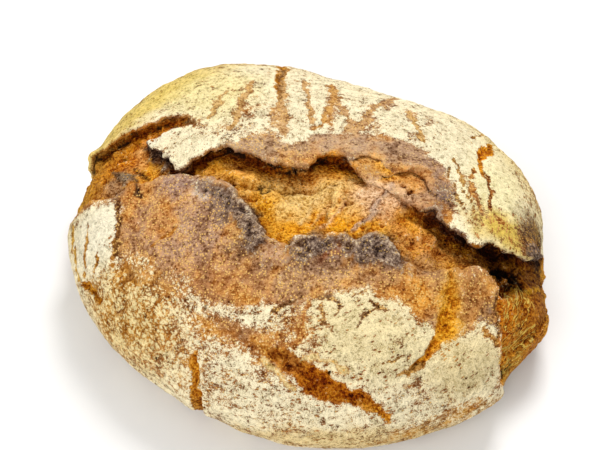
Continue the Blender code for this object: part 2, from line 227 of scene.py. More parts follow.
def noise(x, y, spacing, seed):
    """Smooth bumps between about -1 and 1."""
    x, y = x / spacing, y / spacing
    column, row = np.floor(x).astype(int), np.floor(y).astype(int)
    total = np.zeros_like(x)
    for i in (0, 1):
        for j in (0, 1):
            pick = PERMUTATION[(PERMUTATION[(column + i + 31 * seed) % 256] + row + j) % 256]
            angle = pick * (2.0 * math.pi / 256)
            across, along = x - column - i, y - row - j
            weight = smooth(1.0 - np.abs(across), 0, 1) * smooth(1.0 - np.abs(along), 0, 1)
            total += weight * (np.cos(angle) * across + np.sin(angle) * along)
    return NOISE_GAIN * total


def lumps(x, y, spacing, seed):
    """Rounded grains side by side: 1 on top of a grain, 0 in the creases between."""
    x, y = x / spacing, y / spacing
    column, row = np.floor(x).astype(int), np.floor(y).astype(int)
    near = np.full_like(x, 9.0)
    for i in (-1, 0, 1):
        for j in (-1, 0, 1):
            pick = PERMUTATION[(PERMUTATION[(column + i + 17 * seed) % 256] + row + j) % 256]
            other = PERMUTATION[(pick + 59) % 256]
            gap_x = column + i + pick / 256 - x
            gap_y = row + j + other / 256 - y
            near = np.minimum(near, gap_x ** 2 + gap_y ** 2)
    return np.clip(1.0 - near, 0.0, 1.0)


def relief(x, y, layers, seed):
    """Several layers of bumps, each with its spacing and height."""
    return sum(height * noise(x, y, spacing, seed + i) for i, (spacing, height) in enumerate(layers))


def nearest(x, y, line):
    """Signed distance to a line (positive on its open side), direction to that side, extras."""
    line = np.array(line, dtype=float)
    runs = np.diff(line[:, :2], axis=0)
    runs /= np.linalg.norm(runs, axis=1)[:, None]
    sides = np.stack([runs[:, 1], -runs[:, 0]], axis=1)
    ends = np.vstack([sides[:1], sides[:-1] + sides[1:], sides[-1:]])
    ends /= np.linalg.norm(ends, axis=1)[:, None]
    found = np.full((2 + line.shape[1],) + x.shape, 1e9)
    for a, b, side_a, side_b in zip(line[:-1], line[1:], ends[:-1], ends[1:]):
        step = b - a
        share = ((x - a[0]) * step[0] + (y - a[1]) * step[1]) / (step[0] ** 2 + step[1] ** 2)
        share = np.clip(share, 0.0, 1.0)
        off_x, off_y = x - a[0] - share * step[0], y - a[1] - share * step[1]
        far = np.hypot(off_x, off_y)
        side_x = side_a[0] + share * (side_b[0] - side_a[0])
        side_y = side_a[1] + share * (side_b[1] - side_a[1])
        size = np.hypot(side_x, side_y)
        sign = np.where(off_x * side_x + off_y * side_y < 0, -1.0, 1.0)
        values = [far, sign, side_x / size, side_y / size]
        values += [a[k] + share * step[k] for k in range(2, len(a))]
        found = np.where(far < found[0], values, found)
    return found[0] * found[1], found[2], found[3], found[4:]


def meridian():
    """The loaf's side view: distance along the crust, radius and height."""
    top = np.linspace(0.0, math.pi / 2, 400)
    low = np.linspace(0.0, math.pi / 2, 120)[1:]
    radius = np.append(RADIUS * np.sin(top) ** (2 / FULLNESS), RADIUS - DRAW_IN * (1 - np.cos(low)))
    height = np.append(BELLY + (HEIGHT - BELLY) * np.cos(top),
                       -BASE_CUT + (BELLY + BASE_CUT) * (1 - np.sin(low)))
    steps = np.hypot(np.diff(radius), np.diff(height))
    return np.append(0.0, np.cumsum(steps)), radius, height


ALONG, MERIDIAN_RADIUS, MERIDIAN_HEIGHT = meridian()
CRUST_LENGTH = ALONG[-1]


def waves(x, y, lobes):
    """The sum of waves round the loaf, in the direction of a place."""
    angle = np.arctan2(y, x)
    return sum(size * np.cos(count * (angle - math.radians(turn))) for count, size, turn in lobes)


def stretch(x, y):
    """How much wider than the mean the outline is in the direction of a place."""
    return 1.0 + waves(x, y, OUTLINE_WAVES) / RADIUS


def plain_point(x, y):
    """The point of the smooth loaf at a place on the map."""
    wide = stretch(x, y)
    far = np.hypot(x, y)
    radius = np.interp(far / wide, ALONG, MERIDIAN_RADIUS)
    height = np.interp(far / wide, ALONG, MERIDIAN_HEIGHT)
    shoulder = waves(x, y, SHOULDER_WAVES) * (radius / RADIUS) ** 2
    height += np.maximum(height - BELLY, 0.0) * shoulder
    outward = radius * wide / np.maximum(far, 1e-9)
    return np.stack([x * outward, y * outward, height], axis=-1)


def plain_axes(x, y, step=0.6):
    """Directions on the smooth loaf: along the map's x, along its y, and outward."""
    across = (plain_point(x + step, y) - plain_point(x - step, y)) / (2 * step)
    along = (plain_point(x, y + step) - plain_point(x, y - step)) / (2 * step)
    normal = np.cross(across, along)
    return across, along, normal / np.linalg.norm(normal, axis=-1, keepdims=True)


def fold(far, overhang, depth):
    """A torn edge: the crust lifts, hangs over, turns under and drops to the floor of the tear.

    The line is the edge as it shows from above. Returns the shift towards the open side, the
    height of the crust, how far it is down, and how far round the edge it has turned."""
    far = far + overhang
    crust = np.minimum(CRUST, 0.6 * depth)
    recess = UNDERCUT * overhang
    lead = LIFT_WIDTH + LIFT_SHARE * overhang
    edge = 1.0 + 0.5 * crust
    under = edge + 0.3 + 0.5 * (overhang + recess)
    wall = under + 2.0 + 0.25 * depth
    far_end = wall + 1.5 * (recess + wall)
    raised = smooth(far, -lead, 0.0)
    shift = overhang * raised - edge * ramp(far, 0.0, edge)
    shift -= (recess + overhang + under - edge) * smooth(far, edge, under)
    shift -= (wall - under) * ramp(far, under, wall)
    shift += (recess + wall) * ramp(far, wall, far_end)
    height = LIFT_HEIGHT * overhang * raised ** 2 - crust * smooth(far, 0.0, edge)
    return shift, height, smooth(far, under, wall), ramp(far, -1.0, edge)


def ragged(x, y):
    """Places moved a little to and fro, which makes the lines beside them ragged."""
    layers = RAGGEDNESS + FINE_RAGGEDNESS
    return x + relief(x, y, layers, 1), y + relief(x, y, layers, 5)


def pocket(x, y, line, reach):
    """A short lip with a hollow below it: shift to the right and back, height, how far down."""
    far, side_x, side_y, (overhang, depth) = nearest(*ragged(x, y), line)
    shift, height, down, _ = fold(far, overhang, depth)
    share = 1.0 - smooth(far, 0.3 * reach, reach)
    return shift * side_x, shift * side_y, height * (1.0 - down) - depth * share * down, share * down


def turned(x, y, place):
    """Distance from the middle of an oval, as a share of its size."""
    middle_x, middle_y, length, width, turn = place
    c, s = math.cos(math.radians(turn)), math.sin(math.radians(turn))
    along = ((x - middle_x) * c + (y - middle_y) * s) / length
    across = (-(x - middle_x) * s + (y - middle_y) * c) / width
    return np.hypot(along, across)


def patches(x, y, places):
    """The sum of soft ovals: x, y, half length, half width, turn in degrees, amount."""
    return sum(amount * np.exp(-turned(x, y, place) ** 4) for *place, amount in places)


# ---- how much more or less flour: x, y, half length, half width, turn in degrees, amount ----
FLOUR_MARKS = (
    (-110, 85, 50, 22, 30, 0.2), (-146, 46, 7, 9, 20, -0.5), (140, -26, 15, 24, 12, -0.55),
    (112, -26, 28, 10, -20, -0.25),
    (14, 66, 4, 34, -4, -0.45), (38, 52, 5, 18, 10, -0.35), (50, 80, 5, 14, -15, -0.4),
    (64, 66, 4, 9, -15, -0.4), (75, 61, 3, 9, -15, -0.35), (-38, 58, 5, 14, 20, -0.35),
    (-20, 48, 8, 8, 0, -0.35), (64, 40, 8, 5, 40, -0.4), (30, 44, 14, 4, 10, -0.25),
    (95, 0, 3, 15, 15, -0.5), (101, -14, 3, 8, 30, -0.4), (98, 8, 2, 12, 5, -0.4),
    (111, -4, 2, 14, 8, -0.5), (92, -12, 8, 20, 15, -0.12),
    (-100, -78, 36, 26, -20, 0.12), (-45, -92, 22, 7, -20, -0.4), (-82, -62, 16, 7, -35, -0.3),
    (-103, -52, 12, 7, -15, -0.4), (-5, -100, 14, 24, 15, -0.3), (-22, -108, 12, 16, 25, -0.35),
    (-6, -88, 5, 10, 0, -0.3), (28, -100, 40, 22, -12, 0.3), (90, -108, 22, 16, 35, 0.32),
    (-35, -118, 22, 16, 0, 0.14), (-130, -20, 18, 22, 0, 0.38), (-105, -118, 30, 10, -35, 0.15),
    (100, -140, 60, 10, 20, -0.35), (-132, -66, 14, 24, 10, -0.1), (10, -150, 60, 12, 0, -0.05),
    (60, -128, 12, 9, 0, -0.2), (84, -88, 8, 8, 0, -0.3), (106, 16, 20, 40, -8, 0.28),
    (-42, 38, 26, 7, -8, -0.3),
)
# ---- the crust's and crumb's colours, some of them painted shade under the lips and the flap: x, y, half length, half width, turn, colour, share ----
GROUND_MARKS = (
    (-30, 25, 32, 9, -5, (200, 164, 126), 0.9), (30, 29, 50, 13, -8, (188, 152, 120), 0.9),
    (71, 5, 14, 30, -20, (168, 132, 106), 0.95), (24, 14, 5, 9, 30, (112, 92, 80), 0.8),
    # the mark at (-125, 61) is painted shade: crumb under the left tear's lip
    (77, -16, 7, 17, -12, (108, 90, 84), 0.9), (-125, 61, 30, 5, 5, (150, 84, 24), 0.8),
    (-115, 36, 34, 24, 10, (206, 118, 14), 1.0), (-94, 50, 10, 7, 0, (228, 150, 46), 0.9),
    (-100, 27, 8, 10, 0, (222, 158, 88), 0.8), (-130, 12, 15, 12, 0, (188, 116, 34), 0.9),
    (-86, 19, 6, 15, 35, (124, 96, 76), 0.9), (-97, 37, 5, 4, 0, (62, 42, 32), 0.8),
    (-114, 8, 13, 10, 25, (150, 116, 88), 0.85), (-108, 14, 6, 3, 20, (206, 192, 150), 0.7),
    # the mark at (-72, 9) is painted shade: dark brown under the middle tear's lip
    (-72, 9, 14, 4, 0, (98, 52, 12), 0.85), (-50, 5, 15, 3, -10, (238, 164, 44), 0.85),
    (-38, 10, 12, 9, -25, (228, 150, 70), 0.9), (14, 12, 17, 8, 0, (228, 142, 34), 0.9),
    (-5, -13, 34, 17, 0, (250, 204, 122), 0.95), (-31, -24, 13, 20, -30, (250, 170, 22), 0.95),
    (10, -35, 28, 6, 0, (244, 160, 24), 0.9), (42, -45, 5, 9, 20, (248, 186, 54), 0.8),
    (43, -15, 21, 14, -15, (232, 190, 150), 0.92), (70, -38, 32, 21, -20, (206, 134, 66), 0.9),
    # both marks on the next line are painted shade under the flap
    (88, -42, 22, 9, -15, (146, 82, 22), 0.8), (110, -50, 34, 11, -12, (112, 60, 16), 0.85),
    (56, -28, 12, 6, -35, (222, 148, 40), 0.8), (88, -44, 12, 7, -20, (200, 118, 26), 0.8),
    (34, 14, 8, 7, 0, (226, 166, 92), 0.85), (59, 3, 11, 10, 0, (222, 150, 70), 0.9),
    (130, -66, 26, 46, 0, (158, 92, 22), 0.9), (148, -80, 10, 40, 5, (180, 106, 34), 0.8),
    # painted shade under the flap's lip
    (115, -42, 26, 8, -10, (104, 56, 14), 0.9),
    (77, -82, 8, 27, 0, (238, 168, 44), 0.9), (110, 38, 9, 25, -12, (226, 146, 32), 0.9),
    (-18, 95, 8, 42, 0, (216, 150, 52), 0.9), (10, -124, 34, 13, -15, (172, 94, 14), 0.95),
    (-74, -128, 14, 28, 0, (204, 138, 48), 0.8),
    (-102, -6, 8, 18, 0, (202, 126, 46), 0.85), (-70, -28, 34, 30, -10, (186, 144, 114), 0.85),
    (-74, -2, 16, 9, -10, (170, 136, 120), 0.8),
    (-84, -22, 10, 14, 0, (202, 134, 66), 0.8),
    (-45, -67, 36, 13, -15, (178, 116, 66), 0.8), (52, -74, 19, 12, -15, (216, 140, 50), 0.85),
    (-47, -18, 10, 16, 35, (142, 116, 98), 0.9), (-34, -29, 8, 12, 30, (84, 70, 64), 0.9),
    (-36, -42, 10, 9, 0, (108, 82, 64), 0.7), (-64, -9, 6, 5, 0, (216, 196, 176), 0.8),
    (6, -45, 13, 8, 0, (96, 82, 76), 0.85), (34, -50, 18, 10, 0, (92, 80, 76), 0.9),
    (24, -44, 6, 4, 0, (58, 50, 50), 0.9), (8, -58, 42, 7, 0, (150, 116, 92), 0.7),
    (-18, -51, 9, 5, 0, (216, 166, 124), 0.9), (12, -51, 7, 4, 20, (150, 80, 40), 0.7),
    (62, -58, 17, 7, -10, (142, 106, 80), 0.6), (10, -68, 42, 7, 0, (206, 160, 114), 0.6),
    (92, -72, 14, 17, 0, (184, 122, 60), 0.85), (101, -82, 6, 6, 0, (112, 94, 80), 0.8),
    (-115, -70, 42, 30, -30, (190, 128, 36), 0.85), (-70, -80, 26, 10, -35, (180, 118, 56), 0.7),
    (-40, -100, 30, 9, 0, (192, 130, 72), 0.7), (-10, -100, 11, 17, 0, (178, 112, 50), 0.85),
    (-20, -107, 18, 8, -10, (150, 86, 28), 0.8), (113, -85, 8, 28, 0, (202, 114, 22), 0.85),
    (95, -128, 22, 9, 20, (192, 126, 54), 0.7), (90, -150, 72, 14, 20, (206, 148, 54), 0.8),
    (-20, -168, 110, 10, 0, (200, 144, 58), 0.8), (-165, 0, 20, 52, 0, (204, 152, 54), 0.7),
    (-120, 100, 62, 32, 30, (190, 142, 34), 0.9), (150, -30, 16, 52, 0, (130, 80, 22), 0.8),
    (141, -26, 15, 26, 10, (66, 40, 16), 0.95),
)
# ---- the flour's colours: x, y, half length, half width, turn in degrees, colour, share ----
DUST_MARKS = (
    (-130, -20, 20, 26, 0, (251, 242, 212), 0.8), (-92, 48, 22, 10, 30, (251, 242, 212), 0.8),
    (-108, 92, 60, 26, 30, (232, 198, 76), 0.9), (-140, 60, 34, 14, 30, (228, 192, 80), 0.9),
    (-60, 78, 32, 30, 0, (244, 224, 146), 0.7), (110, 0, 22, 38, -10, (252, 238, 178), 0.8),
    (114, -26, 26, 15, -25, (214, 178, 56), 0.9), (140, -26, 15, 26, 12, (104, 68, 22), 0.97),
    (-110, -80, 46, 32, -30, (238, 212, 142), 0.8), (30, -98, 46, 26, -12, (234, 214, 156), 0.8),
    (90, -110, 28, 20, 35, (228, 206, 148), 0.8), (20, -160, 110, 12, 0, (226, 194, 122), 0.7),
)
# ---- the specks' colours: x, y, half length, half width, turn in degrees, colour, share ----
SPARK_MARKS = (
    (-115, 36, 34, 24, 10, (238, 158, 34), 0.8),
    (-5, -12, 34, 18, 0, (252, 206, 140), 0.9), (143, -20, 14, 30, 12, (214, 164, 40), 0.9),
    (128, -60, 24, 42, 0, (226, 150, 50), 0.8), (69, 5, 15, 29, -20, (222, 172, 110), 0.8),
    (43, -15, 21, 14, -15, (236, 196, 150), 0.7), (10, -124, 34, 13, -15, (236, 156, 50), 0.9),
    (30, 29, 50, 13, -8, (216, 180, 140), 0.7),
)
# ---- char, then other marks: x, y, half length, half width, turn in degrees, amount ----
CHAR_MARKS = (
    (-64, -1, 12, 5, -20, 0.35), (-44, -14, 7, 13, 35, 0.65), (-32, -31, 7, 13, 30, 0.95),
    (-1, -46, 12, 7, 0, 0.75), (16, -44, 8, 4, 0, 0.5), (35, -49, 17, 9, -5, 0.95),
    (52, -58, 12, 6, -20, 0.5), (-34, -44, 8, 6, 0, 0.5), (4, -58, 34, 6, 0, 0.3),
    (-97, 36, 6, 5, 0, 0.8), (-86, 20, 6, 14, 35, 0.6), (-112, 8, 10, 7, 30, 0.4),
    (76, -8, 8, 22, 0, 0.4), (80, -34, 12, 5, -30, 0.9), (70, -22, 8, 5, -30, 0.5),
    (138, -32, 16, 7, 20, 0.9), (107, -82, 5, 26, 0, -0.2), (-28, 20, 22, 6, -15, 0.35),
    (24, 13, 6, 8, 30, 0.6), (37, 8, 8, 5, 0, 0.3), (48, 22, 10, 6, 0, 0.3),
)
SPECKLE_MARKS = ((120, -26, 32, 14, -22, 0.8), (134, -6, 14, 34, 8, 0.6), (-110, 88, 52, 26, 30, 0.15),
                 (100, 18, 26, 40, -12, -0.5), (30, 75, 60, 26, 0, -0.3), (-130, -18, 16, 20, 0, -0.6),
                 (-92, 50, 20, 10, 30, -0.3))
WRINKLE_MARKS = ((127, -84, 15, 24, 10, 1.0), (118, -106, 12, 10, 0, 0.8))
BRIGHT_MARKS = ((-5, -10, 34, 20, 0, 0.55), (43, -15, 20, 13, -15, 0.35), (24, 12, 12, 7, 0, 0.3))
SLAB_MARKS = ((148, -95, 26, 48, 10, 1.0), (-5, -10, 34, 20, 0, 1.0), (43, -15, 18, 12, -15, 0.6))
CRACKLE_MARKS = ((-100, -78, 46, 36, -25, 0.9), (30, -102, 44, 24, -12, 0.35),
                 (90, -105, 24, 16, 35, 0.3), (-130, -20, 20, 24, 0, 0.2),
                 (-40, -115, 30, 25, 0, 0.5), (0, 165, 190, 45, 0, 0.5), (165, 40, 35, 70, 0, 0.5))
STREAK_MARKS = ((10, 75, 95, 38, 0, 1.0), (100, 5, 22, 34, -10, 0.7), (-90, 75, 50, 20, 25, 0.4),
                (0, 160, 190, 50, 0, 0.9))


# ---- strokes: places x, y with a width, colour, depth of the groove (below 0 is a ridge) ----
BROWN, DARK, CREAM = (206, 160, 106), (112, 78, 44), (240, 212, 146)
PIT_GROOVE = 2.0  # grooves deeper than this get painted shade inside
STROKE_COVER = 0.9
STROKES = (
    (((-18, 112, 6), (-17, 95, 4), (-16, 76, 5), (-15, 60, 7), (-18, 46, 9), (-16, 36, 7)), BROWN, 0.3),
    (((15, 95, 4), (17, 78, 6), (14, 64, 5), (9, 50, 4), (3, 40, 3)), (205, 148, 76), 0.4),
    (((-2, 97, 2), (-1, 80, 3), (0, 62, 3), (2, 46, 3)), (212, 166, 108), 0.3),
    (((19, 76, 3), (22, 58, 4), (24, 44, 5)), (200, 155, 105), 0.3),
    (((58, 98, 4), (50, 82, 5), (41, 70, 4), (35, 54, 5), (26, 40, 7)), (192, 146, 96), 0.3),
    (((63, 71, 3), (66, 52, 3), (69, 39, 4)), (214, 170, 104), 0.3),
    (((-36, 88, 3), (-39, 72, 4), (-42, 56, 4), (-46, 41, 5)), (206, 162, 102), 0.3),
    (((-50, 82, 2), (-55, 66, 3), (-60, 52, 3)), (214, 174, 110), 0.3),
    (((99, 20, 2.5), (95, 10, 3), (96, -2, 3.5), (100, -14, 1.5)), (186, 122, 56), 0.5),
    (((107, 18, 2), (107, 2, 3), (107, -12, 2.5), (111, -22, 1)), (150, 84, 24), 1.0),
    (((87, 24, 2), (89, 5, 2), (93, -12, 2), (95, -20, 2)), (170, 126, 60), 0.5),
    (((82, 16, 1.5), (84, 0, 1.5), (88, -16, 1.5)), (170, 130, 70), 0.4),
    (((101, 54, 1), (108, 60, 2), (116, 68, 2)), (160, 110, 40), 0.6),
    (((-134, -12, 1.5), (-137, -26, 3), (-141, -42, 2)), (192, 132, 40), 0.6),
    (((-125, -28, 1), (-131, -43, 2)), (192, 132, 40), 0.4),
    (((-113, -28, 1.5), (-116, -45, 2)), (200, 140, 60), 0.4),
    # painted shade: the dark side of the floured slab
    (((-114, -2, 3), (-112, -18, 4), (-112, -36, 3)), (98, 58, 26), 1.0),
    (((-152, -4, 5), (-152, -22, 4), (-150, -40, 3)), (214, 164, 60), 0.3),
    (((34, -84, 2), (31, -87, 2.5), (26, -93, 1.5)), DARK, 0.9),
    (((5, -78, 2), (10, -76, 3), (15, -80, 3), (14, -87, 2)), (128, 98, 70), 0.6),
    (((-22, -84, 2), (-15, -81, 2), (-9, -79, 1.5), (-4, -76, 1)), DARK, 0.7),
    (((22, -78, 1.5), (26, -76, 1.5), (30, -78, 1)), DARK, 0.6),
    (((32, -80, 2), (36, -82, 2.5), (40, -84, 2)), (96, 66, 34), 0.7),
    (((0, -80, 2), (-4, -86, 4), (-5, -95, 5), (-9, -102, 4)), (176, 110, 52), 0.5),
    (((5, -84, 1.5), (7, -90, 2), (12, -96, 1.5)), (150, 112, 70), 0.5),
    (((38, -112, 1), (46, -112, 1.5), (54, -108, 1)), (150, 112, 60), 0.4),
    (((-4, -112, 1.5), (4, -108, 2), (12, -112, 2), (22, -120, 2)), CREAM, -0.6),
    (((-28, -108, 2), (-20, -116, 3), (-12, -124, 3), (-4, -128, 2)), CREAM, -0.5),
    # painted shade: near black inside a hole
    (((123, -108, 3), (121, -113, 4)), (20, 12, 6), 2.5),
    (((105, -70, 2), (107, -88, 3), (107, -99, 3)), (62, 36, 18), 0.8),
    (((119, -65, 2), (129, -61, 3), (140, -55, 3)), (214, 150, 36), -1.2),
    (((-92, -38, 1), (-82, -33, 2), (-75, -28, 1.5)), (210, 140, 50), 0.8),
    (((-5, -31, 2), (4, -18, 3), (16, -4, 2)), (255, 204, 126), -0.8),
    (((2, -34, 2), (12, -20, 3), (21, -6, 2)), (252, 192, 112), -0.8),
    (((8, -35, 2), (17, -23, 3), (25, -12, 2)), (246, 184, 120), -0.6),
    (((23, -38, 2), (34, -26, 3), (44, -12, 2)), (214, 170, 136), -0.8),
    (((28, -34, 1.5), (38, -20, 2.5), (48, -2, 2)), (206, 164, 132), -0.7),
    (((12, -24, 1), (20, -12, 1.5), (24, -4, 1)), (216, 130, 30), 0.6),
    (((30, -28, 1), (38, -16, 1.5), (43, -8, 1)), (160, 100, 56), 0.6),
    # painted shade: the black hole under the flap
    (((110, -55, 10), (116, -56, 14), (122, -57, 12)), (12, 6, 4), 2.5),
    (((-98, 31, 4), (-91, 25, 10), (-84, 16, 9)), (98, 74, 62), -1.6),
    (((-119, 21, 3), (-112, 15, 8), (-105, 9, 6)), (108, 82, 62), -1.6),
    (((-60, -5, 1), (-53, -10, 1.5), (-48, -15, 1.5)), (66, 54, 50), 0.7),
    # painted shade: near black inside the next two small holes
    (((-118, 34, 1.5), (-116, 31, 2.5), (-113, 29, 1.5)), (30, 18, 12), 1.2),
    (((-106, 44, 1), (-104, 41, 2.2), (-101, 39, 1)), (44, 24, 12), 1.0),
    (((-103, 8, 1.5), (-101, 0, 3), (-97, -6, 2)), (58, 38, 28), 0.8),
    (((-108, 22, 1), (-101, 15, 2), (-97, 9, 2)), (66, 40, 20), 0.8),
    # painted shade: near black inside a hole
    (((-31, -8, 2), (-28, -9, 3.5), (-25, -9, 2)), (52, 32, 12), 1.6),
    (((-52, -8, 1), (-47, -13, 1.5), (-43, -19, 1)), (60, 50, 48), 0.7),
    (((49, -120, 1.5), (57, -117, 3), (64, -112, 2)), (200, 150, 80), 0.3),
    (((96, -90, 1.5), (101, -93, 3), (107, -98, 2)), (180, 120, 50), 0.6),
)


# ---- round pores in the crumb, with painted shade inside, which only the looks have: x, y, radius, depth ----
PORES = ((56.5, -8.5, 3.4, 3.0), (52, -5, 2.0, 1.6), (49, -9, 1.6, 1.2), (60, -13, 1.8, 1.6),
         (19.5, -15.5, 2.6, 2.2), (-14, -22, 1.5, 1.0), (2, -29, 1.6, 1.2), (30, -30, 1.8, 1.4),
         (40, -33, 2.2, 1.8), (70, -42, 2.0, 1.6), (84, -48, 2.4, 1.8), (-118, 30, 1.8, 1.4),
         (-108, 42, 2.0, 1.6), (-40, 8, 1.8, 1.4), (-120, 44, 1.5, 1.2), (122, -58, 2.4, 1.8))


def tint(colour):
    """A surface colour as an array."""
    return np.array(shade(*colour)[:3])


def blend(first, second, share):
    """Colours mixed, with a share of the second at each place."""
    return first + share[:, None] * (second - first)


def painted(x, y, colour, places):
    """A colour with soft ovals of other colours laid over it, one after the other."""
    for *place, other, share in places:
        colour = blend(colour, tint(other), share * np.exp(-turned(x, y, place) ** 4))
    return colour


def see_from_front(x, y, height):
    """The place on the map where the crust shows to the viewer, and the way it faces."""
    across, along, normal = plain_axes(x, y)
    facing = np.maximum(normal @ VIEWER, LEAST_FACING)
    seen_x = x - height * (across @ VIEWER) / facing
    seen_y = y - height * (along @ VIEWER) / facing
    return (seen_x, seen_y), normal


def small_details(x, y, height, down, crumb, painted_shade):
    """Short lips, cracks, holes, swells and the bumps of the whole crust, with painted shade in the cracks
    and holes.
    """
    closed = 1.0 - down
    for line, reach in SCABS:
        shift_x, shift_y, change, lower = pocket(x, y, line, reach)
        x, y, height = x + shift_x * closed, y + shift_y * closed, height + change * closed
        crumb = np.maximum(crumb, lower * closed)
    for line, groove in CRACKS:
        far, _, _, (width,) = nearest(*ragged(x, y), line)
        off = np.abs(far) / width
        height = height - groove * width * (1.0 - smooth(off, 0.1, 0.65))
        inside = (1.0 - smooth(off, 0.3, 0.6)) * smooth(width, 1.0, 3.0)
        crumb = np.maximum(crumb, inside)
        # painted shade along the bottom of the crack
        painted_shade = np.maximum(painted_shade, 0.6 * inside * (1.0 - smooth(off, 0.0, 0.35)))
    for *place, hollow in HOLES:
        pit = down * (1.0 - smooth(turned(x, y, place), 0.4, 1.2))
        height = height - pit * hollow
        # painted shade in the hole
        painted_shade = np.maximum(painted_shade, pit)
    for *place, swell in SWELLS:
        height = height + swell * np.exp(-SWELL_FALL * turned(x, y, place) ** 2)
    return x, y, height + relief(x, y, GROUND_RELIEF, 13), crumb, painted_shade


def fine_relief(x, y, crumb, char, slab, far_front, far_back):
    """Crumbly tears, scaly char and the small cracks of the whole crust."""
    torn = relief(x, y, FINE_CRUMB, 21)
    for spacing, size, seed in GRAINS:
        torn += size * (lumps(x, y, spacing, seed) - 0.7)
    burnt = np.clip(char, 0.0, 1.0) * (1.0 - crumb) * relief(x, y, FINE_CHAR, 27)
    whole = (1.0 - crumb) * relief(x, y, FINE_CRUST, 31)
    round_loaf, out = np.arctan2(y, x) * RADIUS, np.hypot(x, y)
    radial = noise(round_loaf / CRACK_LENGTH, out, 6.5, 61)
    hoops = noise(round_loaf, out / CRACK_LENGTH, 6.0, 63)
    whole += smooth(far_front, 16.0, 40.0) * 0.7 * radial + smooth(-far_back, 12.0, 30.0) * 0.5 * hoops
    return crumb * (1.0 - 0.7 * slab) * torn + burnt + whole


def crust_colour(wide, crumb, painted_lip_shade, strokes, side, low):
    """The colour of bare crust and crumb, the crumb brightened by painted light, with painted shade under
    the lip.
    """
    ground = painted(*wide, blend(tint(CRUST_COLOUR), tint(CRUMB_COLOUR), crumb), GROUND_MARKS)
    mottle = relief(*wide, MOTTLE, 51) * (1.0 - 0.7 * crumb)
    ground = blend(ground, tint(WARM), np.clip(mottle, 0.0, 0.5))
    ground = blend(ground, tint(DULL), np.clip(-mottle, 0.0, 0.55))
    ground *= (1.0 + CRUMB_PAINTED_LIGHT * crumb)[:, None]
    ground *= np.minimum(1.0, PALEST / ground.max(axis=1))[:, None]
    for inside, colour in (painted_lip_shade, *strokes):
        ground = blend(ground, colour, inside)
    ground = blend(ground, tint(SIDE_COLOUR), 0.6 * side)
    return blend(ground, tint(BASE_COLOUR), 0.8 * low)


